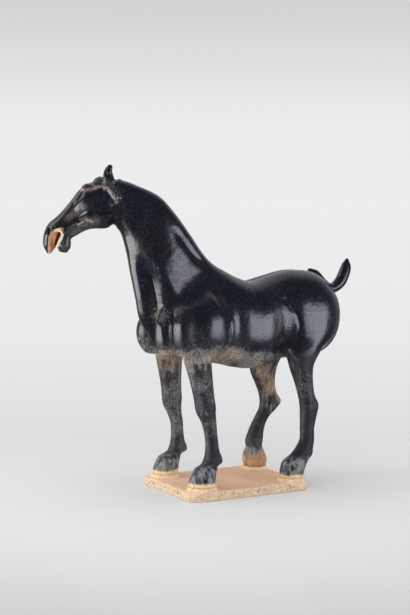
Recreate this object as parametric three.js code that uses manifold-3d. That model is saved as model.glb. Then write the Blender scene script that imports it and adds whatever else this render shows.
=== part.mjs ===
import * as THREE from "three";
import { mergeVertices } from "three/addons/utils/BufferGeometryUtils.js";
import Module from "manifold-3d";

// A glazed terracotta horse standing on its own slab.
// Millimetres, +Z up. The horse looks along -Y and its left side is +X.
// The origin is the centre of the slab's underside.

const wasm = await Module();
wasm.setup();

// Slab and the low clay pads that carry the hooves
const slabLength = 258;
const slabWidth = 210;
const slabThickness = 18;
const slabCorner = 15;
const slabBevel = 2.4;
const padHeight = 6;
const hoofGap = 0.3;
const soleHeight = slabThickness + padHeight + hoofGap;

// Stance: how far the feet and the tops of the legs stand from the middle plane
const foreFootX = 75;
const foreTopX = 46;
const foreFootY = -92;
const leftHindFootX = 78;
const rightHindFootX = 62;
const hindTopX = 42;
const hindFootY = 105;
const legTop = 335;

// The head is turned to the horse's right, and the neck follows it gradually
const headTurn = THREE.MathUtils.degToRad(26);
const headShift = 6;
const turnLow = 370;
const turnHigh = 560;
const pivotLow = -110;
const pivotHigh = -195;

// How far each ear stands from the head's middle plane
const earX = 16;

// The two halves of the breast face outwards by this angle
const breastYaw = THREE.MathUtils.degToRad(24);

// How finely the limbs are cut. Where stations lie close together, none is added between.
const ringsPerSpan = 2;
const closeRingsPerSpan = 1;
const legSides = 16;
const neckSides = 22;
const trunkSides = 28;
const headSides = 18;
const jawSides = 14;
const windpipeSides = 12;
const earSides = 10;
const tailSides = 14;

// A swelling with no radius above this is cut more coarsely
const smallMuscle = 45;

const glaze = new THREE.MeshStandardMaterial({ color: 0x15171f, roughness: 0.22, metalness: 0 });
const bareClay = new THREE.MeshStandardMaterial({ color: 0xcda587, roughness: 0.85, metalness: 0 });

// A station is one cross-section of a limb. Its front and back points lie on the limb's
// profile, it is half as wide as `half`, widest at the share `wide` of the way from front
// to back, and `power` 2 makes it an ellipse, more makes it boxier.
function station(front, back, half, wide = 0.5, power = 2) {
  return { front, back, half, wide, power };
}

// A level is a station of an upright leg, given by its height, the place of its middle,
// its depth from front to back and its width across.
function level(height, middle, depth, width) {
  return station([middle - depth / 2, height], [middle + depth / 2, height], width / 2);
}

function signedPower(value, exponent) {
  return Math.sign(value) * Math.abs(value) ** exponent;
}

// Turns a closed geometry into a solid that can be joined with others.
function solidOf(geometry) {
  const bare = geometry.clone();
  bare.deleteAttribute("normal");
  bare.deleteAttribute("uv");
  const merged = mergeVertices(bare, 1e-4);
  const mesh = new wasm.Mesh({
    numProp: 3,
    vertProperties: new Float32Array(merged.attributes.position.array),
    triVerts: new Uint32Array(merged.index.array),
  });
  return new wasm.Manifold(mesh);
}

function geometryOf(solid) {
  const mesh = solid.getMesh();
  const geometry = new THREE.BufferGeometry();
  const positions = new Float32Array(mesh.vertProperties);
  geometry.setAttribute("position", new THREE.BufferAttribute(positions, 3));
  geometry.setIndex(new THREE.BufferAttribute(new Uint32Array(mesh.triVerts), 1));
  geometry.computeVertexNormals();
  return geometry;
}

function joined(solids) {
  return solids.reduce((sum, next) => sum.add(next));
}

// Lofts a skin through the stations: smooth curves run through the front points, the back
// points and the girths, and each ring is a superellipse between them. `placeX` gives the
// limb's middle across the horse at a height, and `turn` bends the finished ring.
function limb(stations, sides, options = {}) {
  const { placeX = () => 0, turn = (point) => point, rings = ringsPerSpan } = options;
  const curve = (pick) => new THREE.CatmullRomCurve3(stations.map(pick), false, "centripetal");
  const fronts = curve((s) => new THREE.Vector3(0, ...s.front));
  const backs = curve((s) => new THREE.Vector3(0, ...s.back));
  const girths = curve((s) => new THREE.Vector3(s.half, s.wide * 10, s.power * 10));
  const ringCount = (stations.length - 1) * rings + 1;
  const positions = [];
  const indices = [];
  for (let ring = 0; ring < ringCount; ring++) {
    const t = ring / (ringCount - 1);
    const front = fronts.getPoint(t);
    const back = backs.getPoint(t);
    const girth = girths.getPoint(t);
    const wide = girth.y / 10;
    const exponent = 20 / girth.z;
    for (let side = 0; side < sides; side++) {
      const angle = (2 * Math.PI * side) / sides;
      const reach = signedPower(Math.sin(angle), exponent);
      const along = reach > 0 ? wide * (1 - reach) : wide - (1 - wide) * reach;
      const point = front.clone().lerp(back, along);
      point.x = placeX(point.z) + girth.x * signedPower(Math.cos(angle), exponent);
      positions.push(...turn(point).toArray());
    }
  }
  for (let ring = 0; ring < ringCount - 1; ring++) {
    for (let side = 0; side < sides; side++) {
      const a = ring * sides + side;
      const b = ring * sides + ((side + 1) % sides);
      indices.push(a, b, a + sides, b, b + sides, a + sides);
    }
  }
  const capCentre = (ring) => {
    const centre = new THREE.Vector3();
    for (let side = 0; side < sides; side++) {
      centre.add(new THREE.Vector3().fromArray(positions, 3 * (ring * sides + side)));
    }
    return centre.divideScalar(sides);
  };
  const first = positions.length / 3;
  positions.push(...capCentre(0).toArray(), ...capCentre(ringCount - 1).toArray());
  const lastRing = (ringCount - 1) * sides;
  for (let side = 0; side < sides; side++) {
    const next = (side + 1) % sides;
    indices.push(first, next, side);
    indices.push(first + 1, lastRing + side, lastRing + next);
  }
  const geometry = new THREE.BufferGeometry();
  geometry.setAttribute("position", new THREE.Float32BufferAttribute(positions, 3));
  geometry.setIndex(indices);
  const solid = solidOf(geometry);
  return solid.volume() > 0 ? solid : solidOf(flipped(geometry));
}

function flipped(geometry) {
  const index = geometry.index.array;
  for (let i = 0; i < index.length; i += 3) {
    [index[i + 1], index[i + 2]] = [index[i + 2], index[i + 1]];
  }
  return geometry;
}

// An ellipsoid muscle or swelling: its centre and its three radii. `yaw` turns it about its
// own upright axis, and `turn` then moves each of its points.
function muscle(centre, radii, options = {}) {
  const { yaw = 0, turn = (point) => point } = options;
  const ball = new THREE.IcosahedronGeometry(1, Math.max(...radii) > smallMuscle ? 3 : 2);
  ball.scale(...radii);
  ball.rotateZ(yaw);
  ball.translate(...centre);
  const place = ball.attributes.position;
  for (let i = 0; i < place.count; i++) {
    const point = turn(new THREE.Vector3().fromBufferAttribute(place, i));
    place.setXYZ(i, point.x, point.y, point.z);
  }
  return solidOf(ball);
}

// Turns a point about an upright axis at pivotY, and shifts it to the horse's right.
function turnPoint(point, share, pivotY) {
  const angle = headTurn * share;
  const ahead = point.y - pivotY;
  const x = point.x * Math.cos(angle) + ahead * Math.sin(angle) - headShift * share;
  const y = pivotY - point.x * Math.sin(angle) + ahead * Math.cos(angle);
  return new THREE.Vector3(x, y, point.z);
}

function turnNeck(point) {
  const share = THREE.MathUtils.smoothstep(point.z, turnLow, turnHigh);
  const climb = THREE.MathUtils.clamp((point.z - turnLow) / (turnHigh - turnLow), 0, 1);
  return turnPoint(point, share, THREE.MathUtils.lerp(pivotLow, pivotHigh, climb));
}

function turnHead(point) {
  return turnPoint(point, 1, pivotHigh);
}

// Trunk, from the breast to the rump: belly point, back point, half width
function trunk() {
  const stations = [
    station([-146, 300], [-140, 345], 30, 0.5),
    station([-135, 276], [-120, 372], 50, 0.45),
    station([-105, 262], [-95, 398], 56, 0.45),
    station([-60, 253], [-55, 420], 60, 0.44, 2.2),
    station([-20, 245], [-20, 422], 65.5, 0.43, 2.4),
    station([15, 236], [15, 411], 73.4, 0.44, 2.5),
    station([50, 233], [50, 404.5], 74.5, 0.45, 2.5),
    station([85, 238], [88, 413], 68, 0.46, 2.4),
    station([120, 249], [125, 422], 58, 0.48, 2.3),
    station([150, 258], [162, 423], 57, 0.48, 2.3),
    station([180, 270], [194, 417], 56, 0.5, 2.25),
    station([207, 284], [218, 402], 50, 0.52, 2.1),
    station([227, 298], [236, 384], 40, 0.55),
    station([239, 316], [245, 362], 22, 0.55),
  ];
  return limb(stations, trunkSides);
}

// Neck, from the chest and withers to the poll: throat point, crest point, half width
function neck() {
  const stations = [
    station([-150, 285], [15, 400], 45, 0.4),
    station([-158, 326], [-25, 429], 46, 0.36),
    station([-164, 373], [-56, 457], 46, 0.28),
    station([-172, 420], [-85, 495], 44.5, 0.22),
    station([-196, 454], [-115, 534], 38.5, 0.4),
    station([-205.3, 492.2], [-146, 566], 30, 0.44),
    station([-214.5, 516.6], [-183, 584], 26, 0.42),
    station([-230, 535], [-214, 595], 24, 0.5),
    station([-250, 545], [-243, 594], 20, 0.5),
  ];
  return limb(stations, neckSides, { turn: turnNeck });
}

// The round windpipe that runs down the front of the neck
function windpipe() {
  const stations = [
    station([-150, 290], [-112, 310], 16),
    station([-181, 330], [-133, 345], 20),
    station([-191, 373], [-140, 385], 21),
    station([-199, 420], [-148, 434], 22),
    station([-206, 466], [-157, 482], 25),
    station([-217, 500], [-172, 518], 24),
    station([-232, 518], [-195, 540], 20),
    station([-246, 532], [-215, 560], 12),
  ];
  return limb(stations, windpipeSides, { turn: turnNeck });
}

// Skull and upper jaw, from the poll down to the tip of the upper lip
function upperHead() {
  const stations = [
    station([-222, 593], [-226, 524], 20),
    station([-243, 597], [-240, 508], 27),
    station([-262, 594], [-262, 506], 30, 0.45),
    station([-280, 589], [-277, 507], 30, 0.42),
    station([-296, 576], [-288, 514], 26, 0.42),
    station([-309, 559], [-296, 520], 20, 0.5),
    station([-323, 542], [-307, 513], 17, 0.5),
    station([-337, 528], [-323, 504], 17, 0.5),
    station([-351, 516], [-330, 499], 18, 0.5),
    station([-358.5, 502], [-334, 492], 19, 0.45),
    station([-361.5, 488], [-336, 483], 17.5, 0.4),
    station([-361, 474], [-338, 472], 15, 0.4),
    station([-355, 462], [-345, 463], 9),
  ];
  return limb(stations, headSides, { turn: turnHead, rings: closeRingsPerSpan });
}

// Lower jaw, from the cheek to the hanging lower lip
function lowerJaw() {
  const stations = [
    station([-262, 545], [-248, 511], 22),
    station([-278, 532], [-266, 507], 22),
    station([-297, 524], [-283, 502], 19),
    station([-312, 516], [-298, 494], 16),
    station([-323, 504], [-309, 487], 14),
    station([-331, 489], [-309.5, 480], 15),
    station([-336, 477], [-310.5, 471], 15),
    station([-333, 466], [-316, 463], 11),
  ];
  return limb(stations, jawSides, { turn: turnHead, rings: closeRingsPerSpan });
}

function ear(side) {
  const stations = [
    station([-250, 590], [-228, 594], 7.5),
    station([-249, 603], [-230, 603], 7.5),
    station([-247.5, 612], [-232.5, 611.5], 6.5),
    station([-244.5, 618], [-232.5, 617.5], 5),
    station([-240, 622.5], [-232, 622], 3),
  ];
  const placeX = () => side * earX;
  return limb(stations, earSides, { placeX, turn: turnHead, rings: closeRingsPerSpan });
}

function foreLeg(side) {
  const cannonBack = side < 0 ? 3 : 0;
  const stations = [
    level(legTop, -90, 62, 20),
    level(300, -94, 66, 20),
    level(268, -93, 60, 26),
    level(250, -91, 54, 34),
    level(220, -87, 45, 39),
    level(190, -83, 40, 38),
    level(172, -81, 40, 38),
    level(160, -80, 36, 38),
    level(147, -76, 30, 32),
    level(125, -72 + cannonBack, 25, 26),
    level(105, -70 + cannonBack, 25, 24),
    level(88, -69 + cannonBack, 28, 27),
    level(76, -68 + cannonBack, 36, 30),
    level(67, -70 + cannonBack, 41, 32),
    level(62, -77, 38, 33),
    level(56, -84, 45, 42),
    level(32, foreFootY, 50, 52),
    level(soleHeight, foreFootY, 52, 54),
  ];
  return leg(stations, footing(side, foreTopX, foreFootX));
}

function leftHindLeg() {
  const stations = [
    level(legTop, 168, 76, 30),
    level(300, 160, 92, 46),
    level(268, 146, 76, 50),
    level(250, 140, 60, 46),
    level(235, 137, 49, 43),
    level(205, 140, 37, 36),
    level(180, 144, 34, 32),
    level(162, 149, 39, 34),
    level(140, 146, 34, 31),
    level(115, 142, 29, 26),
    level(95, 141, 30, 26),
    level(78, 134, 38, 29),
    level(66, 127, 48, 33),
    level(54, 113, 53, 44),
    level(32, hindFootY, 47, 49),
    level(soleHeight, hindFootY, 48, 51),
  ];
  return leg(stations, footing(1, hindTopX, leftHindFootX));
}

function rightHindLeg() {
  const stations = [
    level(legTop, 164, 76, 30),
    level(300, 152, 92, 46),
    level(268, 135, 80, 50),
    level(250, 126, 72, 47),
    level(220, 120, 58, 42),
    level(190, 126, 42, 35),
    level(170, 133, 39, 33),
    level(153, 140, 47, 34),
    level(138, 133, 38, 31),
    level(122, 120, 30, 27),
    level(100, 109, 32, 27),
    level(75, 103, 38, 30),
    level(63, 103, 34, 32),
    level(54, 103, 42, 41),
    level(44, 104, 48, 48),
    level(34, hindFootY, 49, 51),
    level(soleHeight, hindFootY, 44, 46),
  ];
  return leg(stations, footing(-1, hindTopX, rightHindFootX));
}

function leg(stations, placeX) {
  return limb(stations, legSides, { placeX, rings: closeRingsPerSpan });
}

// Places a leg's middle across the horse: topX at legTop, spreading to footX at the sole.
function footing(side, topX, footX) {
  return (height) => {
    const drop = (legTop - height) / (legTop - soleHeight);
    return side * (footX + (topX - footX) * (1 - drop) ** 2);
  };
}

// The dock lies on the croup, and the bound tail turns up behind it.
function tail() {
  const stations = [
    station([196, 426], [194, 405], 6),
    station([214, 421], [207, 398], 9),
    station([234, 402], [222, 384], 11),
    station([247, 394], [250, 374], 12),
    station([261, 405], [276, 386], 12),
    station([268, 418], [290, 407], 11),
    station([275, 432], [295, 427], 9),
    station([283, 442], [290, 441], 4),
  ];
  return limb(stations, tailSides, { rings: closeRingsPerSpan });
}

// The swellings that both sides share: breast, shoulder, thigh, buttock, brow and cheek
function pairedMuscles(side) {
  return [
    muscle([side * 44, -105, 312], [27, 38, 47], { yaw: side * breastYaw }),
    muscle([side * 42, -68, 320], [42, 58, 57]),
    muscle([side * 24, 162, 334], [49, 66, 80]),
    muscle([side * 26, 190, 328], [40, 54, 64]),
    muscle([side * 22, -277, 581], [8.5, 12, 8], { turn: turnHead }),
    muscle([side * 19, -260, 551], [12.5, 30, 23], { turn: turnHead }),
  ];
}

// The front of the breast, fuller on the horse's right, and the forelock
function singleMuscles() {
  return [
    muscle([31, -140, 310], [20, 28, 42], { yaw: breastYaw }),
    muscle([-39, -138, 309], [27, 32, 43]),
    muscle([0, -255, 593], [14, 11, 10], { turn: turnHead }),
  ];
}

function horse() {
  const solids = [trunk(), neck(), windpipe(), upperHead(), lowerJaw(), tail()];
  solids.push(leftHindLeg(), rightHindLeg(), ...singleMuscles());
  for (const side of [1, -1]) solids.push(foreLeg(side), ear(side), ...pairedMuscles(side));
  return joined(solids);
}

// Rounded rectangle with its middle at the origin
function slabOutline(width, length, corner) {
  const x = width / 2 - corner;
  const y = length / 2 - corner;
  const outline = new THREE.Shape();
  outline.absarc(x, y, corner, 0, Math.PI / 2);
  outline.absarc(-x, y, corner, Math.PI / 2, Math.PI);
  outline.absarc(-x, -y, corner, Math.PI, 1.5 * Math.PI);
  outline.absarc(x, -y, corner, 1.5 * Math.PI, 2 * Math.PI);
  outline.closePath();
  return outline;
}

function slab() {
  const flat = slabThickness - 2 * slabBevel;
  const outline = slabOutline(slabWidth - 2 * slabBevel, slabLength - 2 * slabBevel, slabCorner);
  const geometry = new THREE.ExtrudeGeometry(outline, {
    depth: flat,
    bevelThickness: slabBevel,
    bevelSize: slabBevel,
    bevelSegments: 1,
    curveSegments: 5,
  });
  geometry.translate(0, 0, slabBevel);
  return solidOf(geometry);
}

function pad(x, y, halfWidth, halfDepth) {
  const outline = new THREE.Shape();
  outline.absellipse(0, 0, halfWidth, halfDepth, 0, 2 * Math.PI);
  const overlap = 3;
  const geometry = new THREE.ExtrudeGeometry(outline, {
    depth: padHeight + overlap - 1,
    bevelThickness: 1,
    bevelSize: 1,
    bevelOffset: -1,
    bevelSegments: 1,
    curveSegments: 7,
  });
  geometry.translate(x, y, slabThickness - overlap);
  return solidOf(geometry);
}

function base() {
  const solids = [slab()];
  for (const side of [1, -1]) solids.push(pad(side * foreFootX, foreFootY, 27, 26));
  solids.push(pad(leftHindFootX, hindFootY, 25.5, 24));
  solids.push(pad(-rightHindFootX, hindFootY, 24.5, 22.5));
  return joined(solids);
}

const object = new THREE.Group();

function addPiece(name, solid, material) {
  const mesh = new THREE.Mesh(geometryOf(solid), material);
  mesh.name = name;
  object.add(mesh);
}

addPiece("horse", horse(), glaze);
addPiece("base_slab", base(), bareClay);

export default object;
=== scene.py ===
import functools
import math
import time

import bpy
import numpy as np
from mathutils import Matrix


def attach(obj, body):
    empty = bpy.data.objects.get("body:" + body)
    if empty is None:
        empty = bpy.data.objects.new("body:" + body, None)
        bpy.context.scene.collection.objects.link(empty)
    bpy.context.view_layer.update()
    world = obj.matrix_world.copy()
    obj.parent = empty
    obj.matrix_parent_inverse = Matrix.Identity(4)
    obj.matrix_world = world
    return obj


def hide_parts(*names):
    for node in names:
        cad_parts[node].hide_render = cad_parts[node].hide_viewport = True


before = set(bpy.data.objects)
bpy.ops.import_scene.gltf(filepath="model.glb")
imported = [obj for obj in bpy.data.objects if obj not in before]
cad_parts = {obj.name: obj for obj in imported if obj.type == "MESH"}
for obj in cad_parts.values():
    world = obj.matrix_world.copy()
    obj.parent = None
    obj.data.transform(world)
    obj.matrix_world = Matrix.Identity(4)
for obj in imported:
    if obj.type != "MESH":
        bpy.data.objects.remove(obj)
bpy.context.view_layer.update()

startTime = time.time()

# camera: the photograph's viewing angle, worked out from the slab's corners and the hooves
view = dict(place=(2.1731, -1.2360, 0.5200), tiltDeg=86.17, turnDeg=61.26, lens=75.51, sensor=36,
            clipEnd=50)

cameraData = bpy.data.cameras.new("studioCamera")
cameraData.lens = view["lens"]
cameraData.sensor_width = view["sensor"]
cameraData.clip_end = view["clipEnd"]
camera = bpy.data.objects.new("studioCamera", cameraData)
camera.location = view["place"]
camera.rotation_euler = (math.radians(view["tiltDeg"]), 0, math.radians(view["turnDeg"]))
bpy.context.scene.collection.objects.link(camera)
bpy.context.scene.camera = camera
bpy.context.scene.view_settings.view_transform = "Standard"


# one line for each stage, with the seconds since the start
def stage(text):
    print("%-44s %6.1f s" % (text, time.time() - startTime), flush=True)


# numbers


# 0 below lo, 1 above hi, and the cubic 3t^2 - 2t^3 between them
def ease(x, lo, hi):
    t = np.clip((x - lo) / (hi - lo), 0, 1)
    return t * t * (3 - 2 * t)


# the smaller of two distances, with the corner between them filled over the width k
def softUnion(a, b, k):
    h = np.maximum(k - np.abs(a - b), 0) / k
    return np.minimum(a, b) - h * h * k / 4


# shape a with shape b taken away, the edge rounded over the width k
def softCut(a, b, k):
    return -softUnion(-a, b, k)


# centripetal Catmull-Rom curve through the rows of points, perSpan samples for each span
def curveThrough(points, perSpan):
    p = np.asarray(points, float)
    e = np.vstack([2 * p[0] - p[1], p, 2 * p[-1] - p[-2]])
    p0, p1, p2, p3 = e[:-3], e[1:-2], e[2:-1], e[3:]
    gap = lambda a, b: np.maximum(np.linalg.norm(a - b, axis=1, keepdims=True) ** 0.5, 1e-2)
    d0, d1, d2 = gap(p0, p1), gap(p1, p2), gap(p2, p3)
    m1 = ((p1 - p0) / d0 - (p2 - p0) / (d0 + d1) + (p2 - p1) / d1) * d1
    m2 = ((p2 - p1) / d1 - (p3 - p1) / (d1 + d2) + (p3 - p2) / d2) * d1
    t = (np.arange(perSpan) / perSpan)[None, :, None]
    p1, p2, m1, m2 = (v[:, None, :] for v in (p1, p2, m1, m2))
    c = (2 * t**3 - 3 * t**2 + 1) * p1 + (t**3 - 2 * t**2 + t) * m1
    c = c + (3 * t**2 - 2 * t**3) * p2 + (t**3 - t**2) * m2
    return np.vstack([c.reshape(-1, p.shape[1]), p[-1:]])


noise = dict(seed=11, size=32, shift=7.31)
noiseTable = np.random.default_rng(noise["seed"]).random((noise["size"],) * 3).astype(np.float32) * 2 - 1


# smooth value noise: random numbers on a lattice of the given cell, eased between its corners
def lumps(p, cell, seed):
    q = p / cell + seed * noise["shift"]
    i = np.floor(q).astype(int)
    f = q - i
    f = f * f * (3 - 2 * f)
    out, last = 0, noise["size"] - 1
    for a in (0, 1):
        for b in (0, 1):
            for c in (0, 1):
                w = (f[:, 0] if a else 1 - f[:, 0]) * (f[:, 1] if b else 1 - f[:, 1])
                w = w * (f[:, 2] if c else 1 - f[:, 2])
                out = out + w * noiseTable[(i[:, 0] + a) & last, (i[:, 1] + b) & last, (i[:, 2] + c) & last]
    return out


# the sum of lumps given as rows of cell, seed and height
def uneven(p, rows):
    return sum(height * lumps(p, cell, seed) for cell, seed, height in rows)


# the horse's limbs, as sections between points on their side profile, in mm

horse = dict(
    headTurnDeg=26, headShift=6, turnLow=370, turnHigh=560, pivotLow=-110, pivotHigh=-195,
    headBack=-190, headNear=-205, headMask=-200, headFoot=440, earX=16,
    soleHeight=24.3, legTop=335, legInner=2, legOuter=140, foreTopX=46, hindTopX=42, foreFootX=75,
    leftHindFootX=78, rightHindFootX=62,
    seam=dict(neck=24, thigh=22, buttock=20, shoulder=16, foreLeg=3.5, hindLeg=16, windpipe=7, windpipeMore=2,
              lobe=3.5, lobeBack=8, lobeTop=12, head=10, tail=5),
)
outer = 26.0  # how far outside a limb its distance is worked out
never = 1e6  # the cost of a section that a point doesn't lie in

# each row: front point (y, z), back point (y, z), half width, widest share, roundness power
trunkRows = [
    ((-146, 300), (-140, 345), 30, 0.50), ((-135, 276), (-120, 372), 50, 0.45),
    ((-105, 262), (-95, 398), 56, 0.45), ((-60, 253), (-55, 420), 60, 0.44, 2.2),
    ((-20, 245), (-20, 422), 65.5, 0.43, 2.4), ((15, 236), (15, 411), 73.4, 0.44, 2.5),
    ((50, 233), (50, 404.5), 74.5, 0.45, 2.5), ((85, 238), (88, 413), 68, 0.46, 2.4),
    ((120, 249), (125, 422), 58, 0.48, 2.3), ((150, 258), (162, 423), 57, 0.48, 2.3),
    ((180, 270), (194, 417), 56, 0.5, 2.25), ((207, 284), (218, 402), 50, 0.52, 2.1),
    ((227, 298), (236, 384), 40, 0.55), ((239, 316), (245, 362), 22, 0.55),
]
neckRows = [
    ((-150, 285), (15, 400), 45, 0.4), ((-158, 326), (-25, 429), 46, 0.36, 2.0),
    ((-164, 373), (-56, 457), 46, 0.28, 2.0), ((-172, 420), (-85, 495), 44.5, 0.22, 2.0),
    ((-196, 454), (-115, 534), 38.5, 0.40), ((-205.3, 492.2), (-146, 566), 30, 0.44),
    ((-214.5, 516.6), (-183, 584), 26, 0.42), ((-230, 535), (-214, 595), 24, 0.5),
    ((-250, 545), (-243, 594), 20, 0.5),
]
windpipeRows = [
    ((-150, 290), (-112, 310), 16), ((-181, 330), (-133, 345), 20), ((-191, 373), (-140, 385), 21),
    ((-199, 420), (-148, 434), 22), ((-206, 466), (-157, 482), 25), ((-217, 500), (-172, 518), 24),
    ((-232, 518), (-195, 540), 20), ((-246, 532), (-215, 560), 12),
]
skullRows = [
    ((-222, 593), (-226, 524), 20), ((-243, 597), (-240, 508), 27), ((-262, 594), (-262, 506), 30, 0.45),
    ((-280, 589), (-277, 507), 30, 0.42), ((-296, 576), (-288, 514), 26, 0.42),
    ((-309, 559), (-296, 520), 20), ((-323, 542), (-307, 513), 17), ((-337, 528), (-323, 504), 17),
    ((-351, 516), (-330, 499), 18),
    ((-358.5, 502), (-334, 492), 19, 0.45), ((-361.5, 488), (-336, 483), 17.5, 0.4),
    ((-361, 474), (-338, 472), 15, 0.4), ((-355, 462), (-345, 463), 9),
]
jawRows = [
    ((-262, 545), (-248, 511), 22), ((-278, 532), (-266, 507), 22), ((-297, 524), (-283, 502), 19),
    ((-312, 516), (-298, 494), 16), ((-323, 504), (-309, 487), 14), ((-331, 489), (-309.5, 480), 15),
    ((-336, 477), (-310.5, 471), 15), ((-333, 466), (-316, 463), 11),
]
earRows = [
    ((-250, 590), (-228, 594), 7.5), ((-249, 603), (-230, 603), 7.5), ((-247.5, 612), (-232.5, 611.5), 6.5),
    ((-244.5, 618), (-232.5, 617.5), 5), ((-240, 622.5), (-232, 622), 3),
]
tailRows = [
    ((196, 426), (194, 405), 6), ((214, 421), (207, 398), 9), ((234, 402), (222, 384), 11),
    ((247, 394), (250, 374), 12), ((261, 405), (276, 386), 12), ((268, 418), (290, 407), 11),
    ((275, 432), (295, 427), 9), ((283, 442), (290, 441), 4),
]


# a leg's rows from its levels: height, middle y, depth and width
def legRows(levels):
    return [((y - d / 2, z), (y + d / 2, z), w / 2) for z, y, d, w in levels]


# a fore leg's levels, with its lower leg set back by a few mm
def foreLevels(back):
    return [
        (335, -90, 62, 20), (300, -94, 66, 20), (268, -93, 60, 26), (250, -91, 54, 34), (220, -87, 45, 39),
        (190, -83, 40, 38), (172, -81, 40, 38), (160, -80, 36, 38), (147, -76, 30, 32),
        (125, -72 + back, 25, 26), (105, -70 + back, 25, 24), (88, -69 + back, 28, 27),
        (76, -68 + back, 36, 30), (67, -70 + back, 41, 32), (62, -77, 38, 33), (56, -84, 45, 42),
        (32, -92, 50, 52), (24.3, -92, 52, 54),
    ]


leftHindLevels = [
    (335, 168, 76, 30), (300, 160, 92, 46), (268, 146, 76, 50), (250, 140, 60, 46), (235, 137, 49, 43),
    (205, 140, 37, 36), (180, 144, 34, 32), (162, 149, 39, 34), (140, 146, 34, 31), (115, 142, 29, 26),
    (95, 141, 30, 26), (78, 134, 38, 29), (66, 127, 48, 33), (54, 113, 53, 44), (32, 105, 47, 49),
    (24.3, 105, 48, 51),
]
rightHindLevels = [
    (335, 164, 76, 30), (300, 152, 92, 46), (268, 135, 80, 50), (250, 126, 72, 47), (220, 120, 58, 42),
    (190, 126, 42, 35), (170, 133, 39, 33), (153, 140, 47, 34), (138, 133, 38, 31), (122, 120, 30, 27),
    (100, 109, 32, 27), (75, 103, 38, 30), (63, 103, 34, 32), (54, 103, 42, 41), (44, 104, 48, 48),
    (34, 105, 49, 51), (24.3, 105, 44, 46),
]


# A limb's side view as a table on a grid of y and z. Each point finds the profile lines it lies
# between, and keeps its place from front to back (-1 to 1 about the widest line), the half depth
# there, the half width, the power, and how far past an end it is, as a share of the end's dome.
def limb(rows, startDome=4, endDome=4, middle=None, step=2.0):
    perSpan, scale = 8, [1, 10, 10]
    full = [(*r[0], *r[1], r[2], r[3] if len(r) > 3 else 0.5, r[4] if len(r) > 4 else 2) for r in rows]
    full = np.array(full, float)
    front, back = curveThrough(full[:, 0:2], perSpan), curveThrough(full[:, 2:4], perSpan)
    girth = curveThrough(full[:, 4:7] * scale, perSpan) / scale
    both = np.vstack([front, back])
    lo, hi = both.min(0) - outer, both.max(0) + outer
    counts = np.ceil((hi - lo) / step).astype(int) + 1
    gridY, gridZ = np.meshgrid(*(lo[i] + step * np.arange(counts[i]) for i in (0, 1)), indexing="ij")
    q = np.stack([gridY.ravel(), gridZ.ravel()], 1)
    line = back - front
    size = np.linalg.norm(line, axis=1)
    ry, rz = q[:, None, 0] - front[None, :, 0], q[:, None, 1] - front[None, :, 1]
    share = (ry * line[:, 0] + rz * line[:, 1]) / size**2
    ahead = (ry * line[:, 1] - rz * line[:, 0]) / size
    centre = (front + back) / 2
    hop = centre[1:] - centre[:-1]
    ahead = ahead * np.sign(np.sum(hop[:, 0] * line[:-1, 1] - hop[:, 1] * line[:-1, 0]))
    a0, a1 = ahead[:, :-1], ahead[:, 1:]
    within = (a0 >= 0) & (a1 < 0)
    tau = np.where(within, a0 / np.where(within, a0 - a1, 1), 0)
    v = share[:, :-1] * (1 - tau) + share[:, 1:] * tau
    cost = np.where(within, np.maximum(np.abs(v - 0.5) - 0.5, 0) * size[:-1], never)
    best = cost.argmin(1)
    row = np.arange(len(q))
    v, tau, low = v[row, best], tau[row, best], cost[row, best]
    sectionAt = best + tau
    past = np.zeros(len(q))
    for column, distance, dome in ((0, -ahead[:, 0], startDome), (len(size) - 1, ahead[:, -1], endDome)):
        off = np.maximum(np.abs(share[:, column] - 0.5) - 0.5, 0) * size[column]
        endCost = np.where(distance > -1e-3, np.hypot(distance, off), never)
        use = endCost < low
        low = np.where(use, endCost, low)
        v = np.where(use, share[:, column], v)
        past = np.where(use, np.maximum(distance, 0) / dome, past)
        sectionAt = np.where(use, column, sectionAt)
    i = np.clip(sectionAt.astype(int), 0, len(size) - 2)
    f = sectionAt - i
    half, wide, power = (girth[i] * (1 - f)[:, None] + girth[i + 1] * f[:, None]).T
    depth = size[i] * (1 - f) + size[i + 1] * f
    place = np.where(v < wide, (v - wide) / wide, (v - wide) / (1 - wide))
    halfDepth = depth * np.where(v < wide, wide, 1 - wide)
    table = np.stack([place, halfDepth, half, power, past], 1).astype(np.float32)
    reachX = full[:, 4].max() + outer
    return dict(lo=lo, hi=hi, step=step, counts=counts, table=table, middle=middle, reachX=reachX,
                dome=max(startDome, endDome))


# the table's values at points, mixed between its four nearest entries
def lookUp(shape, p):
    t, (ny, nz), edge = shape["table"], shape["counts"], 1.001  # edge keeps the last cell in the table
    gy = np.clip((p[:, 1] - shape["lo"][0]) / shape["step"], 0, ny - edge)
    gz = np.clip((p[:, 2] - shape["lo"][1]) / shape["step"], 0, nz - edge)
    iy, iz = gy.astype(int), gz.astype(int)
    fy, fz = (gy - iy)[:, None], (gz - iz)[:, None]
    base = iy * nz + iz
    front = t[base] * (1 - fz) + t[base + 1] * fz
    return front * (1 - fy) + (t[base + nz] * (1 - fz) + t[base + nz + 1] * fz) * fy


# Superellipse distance: rho is the power sum of the shares of half width, half depth and dome,
# and the distance is (rho - 1) over the size of rho's slope.
def limbDistance(shape, p):
    place, halfDepth, half, power, past = lookUp(shape, p).T
    x = np.abs(p[:, 0] - (shape["middle"](p[:, 2]) if shape["middle"] else 0)) / half
    w = np.abs(place)
    past = np.maximum(past, 0)
    rho = np.maximum((x**power + w**power + past**power) ** (1 / power), 1e-3)
    slope = np.sqrt((x ** (power - 1) / half) ** 2 + (w ** (power - 1) / halfDepth) ** 2
                    + (past ** (power - 1) / shape["dome"]) ** 2) * rho ** (1 - power)
    return (rho - 1) / np.maximum(slope, 1e-4)


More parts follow.
